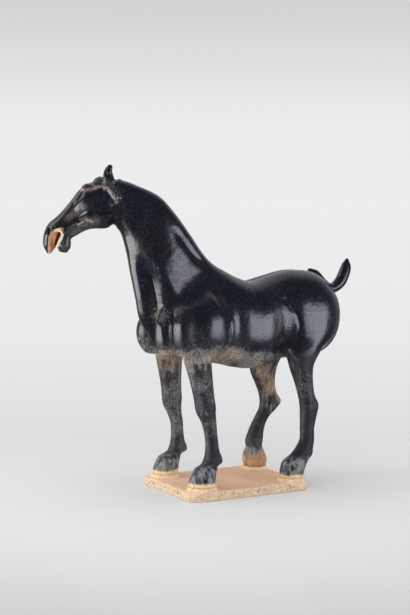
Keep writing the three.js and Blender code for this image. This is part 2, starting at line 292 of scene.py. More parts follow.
# a shape's distance where it is near, and a fixed distance elsewhere
def nearOnly(p, lo, hi, measure):
    near = np.all((p > lo) & (p < hi), axis=1)
    d = np.full(len(p), outer, np.float32)
    if near.any():
        d[near] = np.minimum(measure(p[near]), outer)
    return d


# a limb's distance near it: a leg's on its own side only, any other limb's on both
def limbNear(shape, p):
    reach = shape["reachX"]
    inner, far = (horse["legInner"], horse["legOuter"]) if shape["middle"] else (-reach, reach)
    return nearOnly(p, (inner, *shape["lo"]), (far, *shape["hi"]), lambda q: limbDistance(shape, q))


# Superellipsoid distance: level is the power sum of the shares across and along, rho the power sum
# of level and the share of the height, and the distance is (rho - 1) over the size of rho's slope.
def ball(p, centre, radii, power=2, upright=None):
    centre, radii = np.array(centre, float), np.array(radii, float)
    tall = upright or power

    # the distance of points that are near enough to matter
    def measure(q):
        r = np.abs((q - centre) / radii) + 1e-6
        level = (r[:, 0] ** power + r[:, 1] ** power) ** (1 / power)
        rho = np.maximum((level**tall + r[:, 2] ** tall) ** (1 / tall), 1e-3)
        flat = np.hypot(r[:, 0] ** (power - 1) / radii[0], r[:, 1] ** (power - 1) / radii[1])
        slope = np.hypot(level ** (tall - power) * flat, r[:, 2] ** (tall - 1) / radii[2]) * rho ** (1 - tall)
        return (rho - 1) / np.maximum(slope, 1e-4)

    return nearOnly(p, centre - radii - outer, centre + radii + outer, measure)


# the points turned about the upright axis through the centre, so that a shape's front faces outwards
def yawed(p, centre, degrees):
    c, s = math.cos(math.radians(degrees)), math.sin(math.radians(degrees))
    x, y = p[:, 0] - centre[0], p[:, 1] - centre[1]
    return np.stack([centre[0] + x * c + y * s, centre[1] - x * s + y * c, p[:, 2]], 1)


# the distance from p, seen from the side, to a line through (y, z) points
def lineDistance(p, points):
    q = p[:, 1:3]
    best = np.full(len(p), never, np.float32)
    pts = np.array(points, float)
    for a, b in zip(pts[:-1], pts[1:]):
        ab = b - a
        t = np.clip(((q - a) @ ab) / (ab @ ab), 0, 1)
        best = np.minimum(best, np.hypot(q[:, 0] - a[0] - t * ab[0], q[:, 1] - a[1] - t * ab[1]))
    return best


# height of a raised or sunk line: height x exp(-(distance / width)^2), coming in where |x| passes inner
def crease(p, points, height, width, inner, fade):
    pts = np.array(points, float)
    lo, hi = pts.min(0) - 3 * width, pts.max(0) + 3 * width
    out = np.zeros(len(p), np.float32)
    near = (p[:, 1] > lo[0]) & (p[:, 1] < hi[0]) & (p[:, 2] > lo[1]) & (p[:, 2] < hi[1])
    near &= np.abs(p[:, 0]) > inner
    if near.any():
        q = p[near]
        d = lineDistance(q, points)
        out[near] = height * np.exp(-((d / width) ** 2)) * ease(np.abs(q[:, 0]), inner, inner + fade)
    return out


# where a point of the turned neck or head was before the turn: shift back, then turn back about
# the upright axis at the pivot, by the turn's share at that height
def unturn(p, share, pivot):
    a = math.radians(horse["headTurnDeg"]) * share
    x, y = p[:, 0] + horse["headShift"] * share, p[:, 1] - pivot
    return np.stack([x * np.cos(a) - y * np.sin(a), pivot + x * np.sin(a) + y * np.cos(a), p[:, 2]], 1)


# the neck's place before its turn: the turn's share and its pivot both grow with height
def neckPlace(p):
    z = p[:, 2]
    climb = np.clip((z - horse["turnLow"]) / (horse["turnHigh"] - horse["turnLow"]), 0, 1)
    pivot = horse["pivotLow"] + (horse["pivotHigh"] - horse["pivotLow"]) * climb
    return unturn(p, ease(z, horse["turnLow"], horse["turnHigh"]), pivot)


# the head's place before its turn, which is the whole turn
def headPlace(p):
    return unturn(p, np.ones(len(p)), horse["pivotHigh"])


# a function of the height: a leg's middle across the horse, topX at its top, spreading to footX at
# the sole
def footing(topX, footX):
    def middle(z):
        drop = (horse["legTop"] - z) / (horse["legTop"] - horse["soleHeight"])
        return footX + (topX - footX) * (1 - drop) ** 2

    return middle


parts = dict(
    trunk=limb(trunkRows, 6, 5), neck=limb(neckRows, 40, 4), windpipe=limb(windpipeRows),
    skull=limb(skullRows, 4, 3, step=1.5), jaw=limb(jawRows, 4, 3, step=1.5),
    tail=limb(tailRows, 6, 3, step=1.5), ear=limb(earRows, 4, 2, step=1.0),
    foreLeft=limb(legRows(foreLevels(0)), middle=footing(horse["foreTopX"], horse["foreFootX"])),
    foreRight=limb(legRows(foreLevels(3)), middle=footing(horse["foreTopX"], horse["foreFootX"])),
    hindLeft=limb(legRows(leftHindLevels), middle=footing(horse["hindTopX"], horse["leftHindFootX"])),
    hindRight=limb(legRows(rightHindLevels), middle=footing(horse["hindTopX"], horse["rightHindFootX"])),
)
stage("limb tables")

# relief: lines on the head, neck and body, by their (y, z) points

headLines = dict(
    lock=[(-264, 595), (-253, 596), (-242, 592), (-233, 584), (-226, 574), (-220, 563)],
    cheekRidge=[(-288, 577), (-280, 577), (-270, 579), (-259, 583), (-250, 584.5), (-242, 581), (-236, 575),
                (-230, 566), (-224, 554)],
    cheekHollow=[(-286, 573), (-276, 573.5), (-262, 575.5), (-251, 577.5), (-243.5, 574.5), (-238, 568),
                 (-233, 557)],
    noseRidge=[(-291.5, 571), (-300, 561), (-311, 547.5), (-322, 533), (-333, 521), (-344, 510)],
    noseGroove=[(-287, 569), (-296, 557.5), (-307, 543.5), (-318, 529), (-328, 518), (-337, 510)],
    mouthGroove=[(-317, 503), (-307, 511.5), (-296, 520.5), (-286.5, 526.5), (-277, 531.5), (-268, 534),
                 (-253, 534), (-238, 534.5)],
    cheekLine=[(-263, 542.5), (-249, 542.5), (-238, 543)],
    upperStreak=[(-291, 526.5), (-284, 531), (-275, 537)],
    jawRidge=[(-294, 514), (-288, 518.5), (-281, 521.5), (-274, 521.5), (-268, 518)],
    jawHollow=[(-297, 508), (-288, 512.5), (-280, 515.5), (-272, 514)],
    upperLid=[(-287, 583), (-278.5, 588), (-269, 587.3), (-261, 582.5)],
    foldLid=[(-285.5, 581), (-278, 585.6), (-270, 585), (-262.5, 581)],
    lowerLid=[(-288.5, 578.5), (-280.2, 577), (-271, 577), (-262, 579.6)],
    eyeCorner=[(-288.4, 577), (-286, 577.4)],
)
# each line's height (sunk where negative) and width, and how far from the middle it starts and fades in
headRelief = dict(
    lock=(3.2, 6, 3, 6), cheekRidge=(3.4, 2.4, 8, 6), cheekHollow=(-2.4, 2.6, 8, 6),
    noseRidge=(1.8, 1.8, 7, 4), noseGroove=(-2.0, 2.2, 7, 4), mouthGroove=(-4.0, 2.4, 6, 6),
    cheekLine=(-1.0, 2.2, 10, 6),
    upperStreak=(2.0, 2.0, 8, 6), upperLid=(2.2, 1.4, 12, 6), foldLid=(-2.0, 1.1, 12, 6),
    lowerLid=(2.2, 1.3, 12, 6), eyeCorner=(-2.6, 2.0, 12, 6),
)
jawRelief = dict(jawRidge=(2.6, 1.9, 6, 6), jawHollow=(-1.6, 2.0, 6, 6))
headForms = dict(  # centre and radii of the rounded forms joined to the head or cut out of it
    brow=((22, -277, 581), (8.5, 12, 8)), crown=((0, -255, 593), (14, 11, 10)),
    cheekDisc=((19, -260, 551), (12.5, 30, 23)), eye=((26.5, -273, 581), (5.5, 8.5, 4.6)),
    nostril=((17.5, -349, 504.5), (5.5, 3.2, 6.0)), earHollow=((5.6, -238, 606), (5.0, 5.2, 10)),
)
headSeams = dict(brow=7, crown=4, cheekDisc=5, eye=1.2, mouth=1.5, nostril=2.0, lip=1.2, throat=2, jaw=2.5,
                 earHollow=1.5, ear=3)
mouth = dict(
    opening=[(-322, 507), (-331, 508), (-339, 505.5), (-346, 500), (-350.6, 491.5), (-351.5, 480),
             (-352, 470), (-351, 452), (-318, 450), (-314, 500)],
    palate=[(-322, 507), (-331, 509), (-339, 506), (-346.5, 500.5), (-351, 491.5), (-351.8, 480),
            (-352, 470), (-351, 452), (-336, 455), (-335, 472), (-330, 484), (-325, 495)],
    lip=[(-338, 503.3), (-332, 504), (-327, 500.5), (-325, 495.3), (-327, 489), (-330.5, 483.3),
         (-333.2, 476.8), (-335.2, 471.3)],
    # the line where a painted shadow darkens the slit at the back of the mouth
    slitShadow=[(-330, 498), (-331.5, 493), (-333.5, 487), (-336.8, 479)],
    throat=[(-320, 502), (-327, 492), (-331, 484)],
    palateHalf=12.5, lipAcross=11.5, lipRadius=2.2, throatRadius=8,
)


# signed distance, seen from the side, to a closed outline of (y, z) points: negative inside
def outlineDistance(p, points):
    pts = np.array(points, float)
    q = p[:, 1:3]
    inside = np.zeros(len(p), bool)
    for (ay, az), (by, bz) in zip(pts, np.roll(pts, -1, axis=0)):
        cross = (az > q[:, 1]) != (bz > q[:, 1])
        inside ^= cross & (q[:, 0] < (by - ay) * (q[:, 1] - az) / ((bz - az) if bz != az else 1e-6) + ay)
    d = lineDistance(p, np.vstack([pts, pts[:1]]))
    return np.where(inside, -d, d)


# a rounded cord that follows the line at a fixed place across the head
def cord(p, points, across, radius):
    return np.hypot(lineDistance(p, points), np.abs(np.abs(p[:, 0]) - across)) - radius


# the sum of the creases that a relief table names
def raised(p, lines, table):
    return sum(crease(p, lines[name], *row) for name, row in table.items())


# both sides laid on one: x without its sign
def mirrored(p):
    return np.c_[np.abs(p[:, 0]), p[:, 1:]]


# The head before its turn: the skull joined to its rounded forms, less the relief, with the mouth
# and nostrils cut out, then joined to the jaw, its lip and the ears.
def headField(h):
    m, forms, s = mirrored(h), headForms, headSeams
    skull = limbDistance(parts["skull"], h)
    for name in ("brow", "crown", "cheekDisc"):
        skull = softUnion(skull, ball(m, *forms[name]), s[name])
    skull = softUnion(skull - raised(h, headLines, headRelief), ball(m, *forms["eye"]), s["eye"])
    cut = np.maximum(outlineDistance(h, mouth["opening"]), mouth["palateHalf"] - m[:, 0])
    skull = softCut(skull, cut, s["mouth"])
    skull = softCut(skull, ball(m, *forms["nostril"]), s["nostril"])
    jaw = limbDistance(parts["jaw"], h) - raised(h, headLines, jawRelief)
    jaw = softUnion(jaw, cord(h, mouth["lip"], mouth["lipAcross"], mouth["lipRadius"]), s["lip"])
    jaw = softUnion(jaw, cord(h, mouth["throat"], 0, mouth["throatRadius"]), s["throat"])
    ears = m.copy()
    ears[:, 0] -= horse["earX"]
    ear = softCut(limbDistance(parts["ear"], ears), ball(ears, *forms["earHollow"]), s["earHollow"])
    return softUnion(softUnion(skull, jaw, s["jaw"]), ear, s["ear"])


muscles = dict(  # centre, radii, and the powers of the plan and of the upright section
    thigh=((24, 162, 334), (49, 66, 80), 2.3), buttock=((26, 190, 328), (40, 54, 64)),
    shoulder=((42, -68, 313), (42, 58, 50), 2, 2.4),
    frontLobe=((31, -140, 310), (18.5, 26, 42), 3, 2.6), outerLobe=((44, -105, 312), (25, 36, 47), 3, 2.6),
    rightLobe=((-39, -138, 309), (27, 32, 43)),
)
muscleShaping = dict(shoulderLevel=313, shoulderSquash=0.7, lobeTurnDeg=24, lobeSeam=4)
bodyLines = dict(
    jugular=[(-172, 466), (-168, 431), (-164, 401), (-158, 354), (-154, 335)],
    crestGroove=[(-115, 510), (-104.5, 486), (-86, 460), (-68.5, 441), (-59, 431)],
    shoulderGroove=[(-34, 344), (-30, 325), (-31, 300), (-40, 276)],
    flankCrescent=[(100, 368), (114, 350), (124, 335), (129, 318), (126, 293), (114, 267)],
    scapula=[(-62, 394), (-57, 378), (-47, 350)],
    breastGroove=[(-159, 345), (-157, 314), (-150, 280)],
)
bodyRelief = dict(
    jugular=(-1.0, 3.0, 10, 8), crestGroove=(-2.4, 8, 12, 8), shoulderGroove=(-3.4, 4.5, 35, 12),
    flankCrescent=(-1.5, 4.0, 35, 12), scapula=(-0.8, 5, 30, 10), breastGroove=(-1.6, 3.5, 30, 8),
)
# heights, or places along the body, over which a change comes in
bodyZones = dict(
    windpipeTop=(440, 490), jugularTop=(425, 460), crestTop=(490, 515), crestFoot=(428, 450),
    lobeBack=(-150, -112), lobeTop=(336, 356), grooveTop=(315, 342), bellyTop=(262, 285),
    bellyFoot=(225, 245), spineAlong=(0, 60), spineUp=(370, 395),
)
bellyLumps = [(12, 21, 1.1)]  # cell, seed, height
spineGroove = dict(width=9, depth=3.5)


# The whole horse in its place: trunk, muscles, turned neck and windpipe, and breast lobes, less the
# relief, then the legs, the tail and the head, and all of it cut flat at the soles.
def horseField(p):
    s, zones, shaping = horse["seam"], bodyZones, muscleShaping
    m, y, z = mirrored(p), p[:, 1], p[:, 2]
    d = limbNear(parts["trunk"], p)
    for name in ("thigh", "buttock"):
        d = softUnion(d, ball(m, *muscles[name]), s[name])
    low, level = m.copy(), shaping["shoulderLevel"]
    low[:, 2] = np.where(z > level, level + shaping["shoulderSquash"] * (z - level), z)
    d = softUnion(d, ball(low, *muscles["shoulder"]), s["shoulder"])
    n = neckPlace(p)
    up = n[:, 2]
    d = softUnion(d, limbNear(parts["neck"], n), s["neck"])
    seam = s["windpipe"] + s["windpipeMore"] * ease(up, *zones["windpipeTop"])
    d = softUnion(d, limbNear(parts["windpipe"], n), seam)
    d = d - crease(n, bodyLines["jugular"], *bodyRelief["jugular"]) * (1 - ease(up, *zones["jugularTop"]))
    crest = (1 - ease(up, *zones["crestTop"])) * ease(up, *zones["crestFoot"])
    d = d - crease(n, bodyLines["crestGroove"], *bodyRelief["crestGroove"]) * crest
    lobes = [ball(yawed(m, lobe[0], shaping["lobeTurnDeg"]), *lobe)
             for lobe in (muscles["frontLobe"], muscles["outerLobe"])]
    breast = softUnion(lobes[0], lobes[1], shaping["lobeSeam"])
    breast = softUnion(breast, ball(p, *muscles["rightLobe"]), shaping["lobeSeam"])
    seam = s["lobe"] + s["lobeBack"] * ease(y, *zones["lobeBack"]) + s["lobeTop"] * ease(z, *zones["lobeTop"])
    d = softUnion(d, breast, seam)
    groove = crease(p, bodyLines["shoulderGroove"], *bodyRelief["shoulderGroove"])
    relief = groove * (1 - ease(z, *zones["grooveTop"]))
    belly = (1 - ease(z, *zones["bellyTop"])) * ease(z, *zones["bellyFoot"])
    relief += uneven(p, bellyLumps) * belly
    for name in ("flankCrescent", "scapula", "breastGroove"):
        relief += crease(p, bodyLines[name], *bodyRelief[name])
    spine = np.exp(-((p[:, 0] / spineGroove["width"]) ** 2))
    spine = spine * ease(y, *zones["spineAlong"]) * ease(z, *zones["spineUp"])
    d = d - relief + spineGroove["depth"] * spine
    for name in ("foreLeft", "foreRight", "hindLeft", "hindRight"):
        side = 1 if name.endswith("Left") else -1
        leg = limbNear(parts[name], np.c_[p[:, 0] * side, p[:, 1:]])
        d = softUnion(d, leg, s["foreLeg"] if name.startswith("fore") else s["hindLeg"])
    d = softUnion(d, limbNear(parts["tail"], p), s["tail"])
    top = (y < horse["headBack"]) & (z > horse["headFoot"])
    if top.any():
        h = headPlace(p[top])
        near = h[:, 1] < horse["headNear"]
        head = np.full(len(h), outer)
        head[near] = np.minimum(headField(h[near]), outer)
        d[top] = softUnion(d[top], head, s["head"])
    return np.maximum(d, horse["soleHeight"] - z)


# a skin round a field


# grid lines from lo to hi: the spacing is fine inside the zone and grows to coarse outside it
def gridLines(lo, hi, coarse, zones):
    at, lines, growth = lo, [lo], 0.08
    while at < hi:
        step = coarse
        for a, b, fine in zones:
            away = max(a - at, at - b, 0)
            step = min(step, fine + away * growth)
        at += step
        lines.append(at)
    return np.array(lines)


# the field measured a part of the points at a time, to save memory
def inChunks(field, p, size=150000):
    return np.concatenate([field(p[i:i + size]).astype(np.float32) for i in range(0, len(p), size)])


# Surface nets: one vertex in each cell that the surface crosses, at the mean of its edge
# crossings, and one four-sided face round each grid edge whose ends lie on different sides.
# Only blocks of cells near the surface are measured, out to a little over half a block's diagonal.
def skinOf(field, xs, ys, zs, block=4):
    nearShare, nearMore = 0.62, 3
    shape = (len(xs), len(ys), len(zs))
    axes = (xs, ys, zs)
    picks = [np.unique(np.append(np.arange(0, n, block), n - 1)) for n in shape]
    coarseAxes = [a[i] for a, i in zip(axes, picks)]
    c = np.stack(np.meshgrid(*coarseAxes, indexing="ij"), -1).reshape(-1, 3).astype(np.float32)
    coarse = inChunks(field, c).reshape([len(a) for a in coarseAxes])
    diagonal = math.sqrt(sum(np.diff(a).max() ** 2 for a in coarseAxes))
    near = np.abs(coarse) < nearShare * diagonal + nearMore
    blockOn = np.zeros([n - 1 for n in near.shape], bool)
    corners = [(a, b, k) for a in (0, 1) for b in (0, 1) for k in (0, 1)]
    cut = lambda grid, o: grid[tuple(slice(start, n - 1 + start) for start, n in zip(o, grid.shape))]
    for o in corners:
        blockOn |= cut(near, o)
    at = [np.clip(np.searchsorted(i, np.arange(n - 1), "right") - 1, 0, len(i) - 2)
          for i, n in zip(picks, shape)]
    cellOn = blockOn[np.ix_(*at)]
    pointOn = np.zeros(shape, bool)
    for o in corners:
        cut(pointOn, o)[...] |= cellOn
    ids = np.nonzero(pointOn)
    pts = np.stack([a[i] for a, i in zip(axes, ids)], 1).astype(np.float32)
    values = np.ones(shape, np.float32)
    values[ids] = inChunks(field, pts)
    inside = values < 0
    count = np.zeros(cellOn.shape, np.int8)
    for o in corners:
        count += cut(inside, o)
    crossed = cellOn & (count > 0) & (count < 8)
    cells = np.nonzero(crossed)
    number = np.full(crossed.shape, -1, int)
    number[cells] = np.arange(len(cells[0]))
    total, weight = np.zeros((len(cells[0]), 3)), np.zeros(len(cells[0]))
    cornerAt = lambda o: tuple(c + d for c, d in zip(cells, o))
    for o in corners:
        for axis in range(3):
            if o[axis]:
                continue
            e = tuple(v + (i == axis) for i, v in enumerate(o))
            ia, ib = cornerAt(o), cornerAt(e)
            fa, fb = values[ia], values[ib]
            hit = (fa < 0) != (fb < 0)
            t = np.where(hit, fa / np.where(hit, fa - fb, 1), 0)
            pa = np.stack([a[i] for a, i in zip(axes, ia)], 1)
            pb = np.stack([a[i] for a, i in zip(axes, ib)], 1)
            total += np.where(hit[:, None], pa + (pb - pa) * t[:, None], 0)
            weight += hit
    vertices = total / weight[:, None]
    faces = []
    for axis in range(3):
        u, w = (axis + 1) % 3, (axis + 2) % 3
        lowEnd = [slice(None)] * 3
        highEnd = [slice(None)] * 3
        lowEnd[axis], highEnd[axis] = slice(0, -1), slice(1, None)
        lo, hi = inside[tuple(lowEnd)], inside[tuple(highEnd)]
        for outward in (True, False):
            edge = (lo & ~hi) if outward else (~lo & hi)
            e = np.array(np.nonzero(edge))
            keep = (e[u] > 0) & (e[w] > 0) & (e[u] < shape[u] - 1) & (e[w] < shape[w] - 1)
            e = e[:, keep]
            ring = []
            for du, dw in ((-1, -1), (0, -1), (0, 0), (-1, 0)):
                k = e.copy()
                k[u] += du
                k[w] += dw
                ring.append(number[tuple(k)])
            ring = np.stack(ring, 1)
            faces.append(ring if outward else ring[:, ::-1])
    faces = np.vstack(faces)
    return largestBody(vertices, faces[(faces >= 0).all(1)])


# Drops loose crumbs: every vertex takes the lowest number met along its faces until none changes,
# and only the vertices that share the commonest number are kept.
def largestBody(vertices, faces):
    label = np.arange(len(vertices))
    changed = True
    while changed:
        lower = label.copy()
        np.minimum.at(lower, faces, label[faces].min(1)[:, None])
        lower = lower[lower]
        changed = (lower != label).any()
        label = lower
    keep = label == np.bincount(label).argmax()
    number = np.cumsum(keep) - 1
    return vertices[keep], number[faces[keep[faces[:, 0]]]]


# slope of the field at p, by central differences
def slopeOf(field, p, h=0.5):
    g = np.empty_like(p)
    for axis in range(3):
        step = np.zeros(3)
        step[axis] = h
        g[:, axis] = (inChunks(field, p + step) - inChunks(field, p - step)) / (2 * h)
    return g


# draws vertices onto the surface, twice over: slide halfway to the neighbours' mean along the
# surface, then move by -value x slope / slope^2
def settle(field, vertices, faces):
    leastSlope, farthest = 0.3, 1.2
    a = faces.ravel()
    b = np.roll(faces, -1, axis=1).ravel()
    for i in range(2):
        g = slopeOf(field, vertices)
        n = g / (np.linalg.norm(g, axis=1, keepdims=True) + 1e-9)
        count = np.bincount(a, minlength=len(vertices)) + np.bincount(b, minlength=len(vertices))
        total = [np.bincount(a, along[b], len(along)) + np.bincount(b, along[a], len(along))
                 for along in vertices.T]
        mean = np.stack(total, 1) / np.maximum(count, 1)[:, None]
        move = mean - vertices
        vertices = vertices + 0.5 * (move - n * (move * n).sum(1, keepdims=True))
        value = inChunks(field, vertices)
        step = value / np.maximum(np.linalg.norm(g, axis=1), leastSlope)
        vertices = vertices - n * np.clip(step, -farthest, farthest)[:, None]
    return vertices


# a smooth mesh object in metres, with its masks as vertex attributes
def meshObject(name, vertices, faces, masks, material):
    mesh = bpy.data.meshes.new(name)
    mesh.from_pydata((vertices / 1000).tolist(), [], faces.tolist())
    mesh.polygons.foreach_set("use_smooth", np.ones(len(faces), bool))
    for key, values in masks.items():
        mesh.attributes.new(key, "FLOAT", "POINT").data.foreach_set("value", values.astype(np.float32))
    mesh.materials.append(material)
    mesh.update()
    piece = bpy.data.objects.new(name, mesh)
    bpy.context.scene.collection.objects.link(piece)
    return piece


# the horse's lattice in mm: its ends, its spacings, and the stretches where it is finer
lattice = dict(
    x=(-108, 112), y=(-352, 302), z=(22, 632), coarse=3.2, head=1.6, fine=2.4, across=2.6, acrossMore=1.15,
    middleX=(-70, 30), headY=(-352, -222), tailY=(240, 298), headZ=(450, 632), hoofZ=(22, 70),
)
net = lattice
xs = gridLines(*net["x"], net["across"] * net["acrossMore"], [(*net["middleX"], net["across"])])
ys = gridLines(*net["y"], net["coarse"], [(*net["headY"], net["head"]), (*net["tailY"], net["fine"])])
zs = gridLines(*net["z"], net["coarse"], [(*net["headZ"], net["head"]), (*net["hoofZ"], net["fine"])])
skinPoints, skinFaces = skinOf(horseField, xs, ys, zs)
stage("horse skin: %d vertices, %d faces" % (len(skinPoints), len(skinFaces)))
skinPoints = settle(horseField, skinPoints, skinFaces)
stage("horse skin settled")

# masks on the horse

# pairs are where a change starts and is complete: heights z, places along y, slopes or distances
wearZones = dict(
    legTop=(252, 276), hoofTop=(56, 68), bellyDown=(-0.1, 0.75), bellyFoot=(225, 240), chestBack=(-35, 10),
    chestFoot=(252, 260), veinOut=(12, 20), veinFoot=(300, 340), veinTop=(440, 480), rumpBack=(190, 232),
    rumpTop=(335, 395), hockIn=(0.3, 0.85), hockFoot=(110, 150), hockTop=(225, 262), foreIn=(0.2, 0.8),
    foreFoot=(170, 210), foreTopFoot=(216, 256), foreTopEnd=(262, 272), palate=(-1.0, 0.8),
    palateOut=(-14.5, -12.8), palateEdgeHighlight=(1.5, 6.5), slitShadow=(1.8, 5.0), lip=(2.2, 3.6), jaw=(0.2, 1.2),
    paleOut=(5, 10),
)
# worn lines on the body, and lines of painted sheen on the side of the muzzle and across the lower jaw
wornAndSheenLines = dict(
    breastCollar=[(-158, 340), (-140, 354), (-112, 362), (-84, 372), (-66, 384)],
    muzzleSheen=[(-283, 546), (-299, 535), (-315, 524)], jawSheen=[(-262, 520), (-284, 513), (-306, 497)],
    chin=[(-322, 474), (-326, 470)],
)
# pale lines on the head: paler thin glaze along the cheek and jaw ridges, painted highlights along the lids,
# painted sheen on the side of the muzzle and across the lower jaw, and a paler nose ridge and chin; strength
# and width
paleAndHighlightHead = dict(cheekRidge=(1, 2.6), jawRidge=(0.8, 1.9), lowerLid=(0.9, 2.2), upperLid=(0.9, 1.4),
                noseRidge=(0.35, 1.5), muzzleSheen=(0.30, 6), jawSheen=(0.28, 9), chin=(0.22, 12))
# worn spots: strength, then the centre's y and z and the widths along them
wearSpots = dict(throatFoot=(1, -163, 345, 12, 22), farFetlock=(1.3, -58, 62, 10, 8),
                 hindFetlock=(0.9, 118, 44, 9, 9), nearFetlock=(0.7, -60, 59, 8, 5))
thinShare = dict(nearHind=0.42, farHind=0.50, farFore=0.68, nearFore=0.60, belly=0.58, chest=0.72, rump=0.35,
                 throatFoot=0.25, collar=0.30)
wornShare = dict(belly=0.25, chest=0.40, vein=0.21, throatFoot=0.36, collar=0.20, legs=0.18, farFore=0.75,
                 rump=0.15)
bareShare = dict(farFore=0.35, foreTop=0.40, fetlock=0.8)
glazeEdge = dict(farHind=55, nearHind=31, fore=32.5)  # height of the glaze's lower edge on the hooves
rimShape = dict(farHind=(3, 10, 9), others=(1, 1, 1.2))  # how wavy the edge is, its softness below and above
# where a place starts or ends, in mm along, up and across
wearLimits = dict(hindFrom=60, foreTo=-20, foreBelow=300, slitHalf=13.5, chestOut=12, throatFootHalf=30,
                  collarOut=10)
# uneven wear: cell, seed and height of its lumps; base and gain of what they change; where it ends
wearLumps = dict(blot=[(26, 12, 1), (11, 13, 0.6)], wave=[(9, 1, 2.6), (4, 2, 1.4)], farEdge=[(17, 14, 10)])
wearBlots = dict(thin=(0.80, 0.6), thinBelly=(1, 0.8), worn=(1, 1.1), wornLegs=(0.8, 0.8), hock=(0.56, 0.6),
                 bellyTop=(292, 14), chestTop=(326, 16))
wearLow = 262  # where the belly's and the chest's wear starts to fade upwards


# 1 on a line seen from the side, falling to 1/e at the width
def closeTo(p, points, width):
    return np.exp(-((lineDistance(p, points) / width) ** 2))


# strength x exp(-(dy / wide)^2 - (dz / tall)^2)
def spot(y, z, strength, atY, atZ, wide, tall):
    return strength * np.exp(-(((y - atY) / wide) ** 2 + ((z - atZ) / tall) ** 2))


# One value from 0 to 1 at each vertex for each effect of the glaze, worked out from its place and slope.
def horseMasks(v):
    h, n = headPlace(v), neckPlace(v)
    y, z = v[:, 1], v[:, 2]
    x, across = np.abs(h[:, 0]), np.abs(v[:, 0])
    zones, limits, lines = wearZones, wearLimits, {**headLines, **wornAndSheenLines}
    blot = uneven(v, wearLumps["blot"])
    blotted = {name: base + gain * blot for name, (base, gain) in wearBlots.items()}
    head = ((y < horse["headMask"]) & (z > horse["headFoot"])).astype(float)
    g = slopeOf(horseField, v)
    g /= np.linalg.norm(g, axis=1, keepdims=True) + 1e-9
    # the mouth: palate, a painted shadow in the slit at its back, a painted highlight along the palate's
    # edge, and the lip
    jawAway = ease(limbDistance(parts["jaw"], h), *zones["jaw"])
    inMouth = ease(-outlineDistance(h, mouth["palate"]), *zones["palate"]) * head * jawAway
    inMouth = inMouth * ease(-x, *zones["palateOut"])
    # painted shadow: near black in the slit at the back of the mouth, where it only lies in shade
    throat = (1 - ease(lineDistance(h, mouth["slitShadow"]), *zones["slitShadow"])) * (x < limits["slitHalf"]) * head
    # painted highlight: the palate lighter and pinker near the mouth's edge
    palateEdgeHighlight = (1 - ease(lineDistance(h, mouth["opening"][1:8]), *zones["palateEdgeHighlight"])) * inMouth
    offLip = np.hypot(lineDistance(h, mouth["lip"]), 0.5 * np.abs(x - mouth["lipAcross"]))
    lip = (1 - ease(offLip, *zones["lip"])) * head
    # places on the body
    legs = 1 - ease(z, *zones["legTop"])
    belly = ease(-g[:, 2], *zones["bellyDown"]) * ease(z, *zones["bellyFoot"])
    belly = belly * (1 - ease(z, wearLow, blotted["bellyTop"]))
    chest = ease(-y, *zones["chestBack"]) * ease(z, *zones["chestFoot"]) * (across > limits["chestOut"])
    chest = chest * (1 - ease(z, wearLow, blotted["chestTop"]))
    vein = closeTo(n, [(a + 8, b) for a, b in bodyLines["jugular"]], 9)
    vein = vein * ease(np.abs(n[:, 0]), *zones["veinOut"])
    vein = vein * ease(z, *zones["veinFoot"]) * (1 - ease(z, *zones["veinTop"]))
    throatFoot = spot(y, z, *wearSpots["throatFoot"]) * (across < limits["throatFootHalf"])
    collar = closeTo(v, lines["breastCollar"], 6) * (v[:, 0] > limits["collarOut"])
    rump = ease(y, *zones["rumpBack"]) * (1 - ease(z, *zones["rumpTop"]))
    left, right = v[:, 0] > 0, v[:, 0] < 0
    hind, fore = y > limits["hindFrom"], y < limits["foreTo"]
    farHind, nearHind, farFore = right & hind, left & hind, right & fore & (z < limits["foreBelow"])
    # thin: how thin and grey the glaze is
    s = thinShare
    legShare = np.where(farHind, s["farHind"], np.where(farFore, s["farFore"], s["nearFore"]))
    thin = legs * np.where(nearHind, s["nearHind"], legShare) * blotted["thin"]
    thin += s["belly"] * belly * blotted["thinBelly"] + s["chest"] * chest + s["rump"] * rump
    thin += s["throatFoot"] * throatFoot + s["collar"] * collar
    # worn: how much clay shows as specks
    s = wornShare
    worn = (s["belly"] * belly + s["chest"] * chest) * blotted["worn"] + s["vein"] * vein
    worn += s["throatFoot"] * throatFoot + s["collar"] * collar + s["rump"] * rump
    worn += s["legs"] * legs * np.clip(blotted["wornLegs"], 0, 1) * np.where(farFore, s["farFore"], 1)
    # bare: clay patches inside the far legs, at the fore legs' tops and on the fetlocks
    s = bareShare
    hock = ease(g[:, 0], *zones["hockIn"]) * ease(z, *zones["hockFoot"]) * (1 - ease(z, *zones["hockTop"]))
    bare = np.where(farHind, blotted["hock"] * hock, 0)
    bare += np.where(farFore, s["farFore"] * ease(g[:, 0], *zones["foreIn"]) * ease(z, *zones["foreFoot"]), 0)
    foreTop = ease(z, *zones["foreTopFoot"]) * (1 - ease(z, *zones["foreTopEnd"]))
    bare += np.where(fore, s["foreTop"] * foreTop, 0)
    fetlock = np.where(farFore, spot(y, z, *wearSpots["farFetlock"]), 0)
    fetlock += np.where(nearHind, spot(y, z, *wearSpots["hindFetlock"]), 0)
    fetlock += np.where(left & fore, spot(y, z, *wearSpots["nearFetlock"]), 0)
    bare = np.maximum(bare, s["fetlock"] * fetlock)
    # rim: the cream clay below the glaze's wavy edge, softer and higher on the far hind hoof
    line = np.where(nearHind, glazeEdge["nearHind"], glazeEdge["fore"])
    line = np.where(farHind, glazeEdge["farHind"] + uneven(v, wearLumps["farEdge"]), line)
    waves, below, above = (np.where(farHind, a, b) for a, b in zip(rimShape["farHind"], rimShape["others"]))
    rim = 1 - ease(z + waves * uneven(v, wearLumps["wave"]), line - below, line + above)
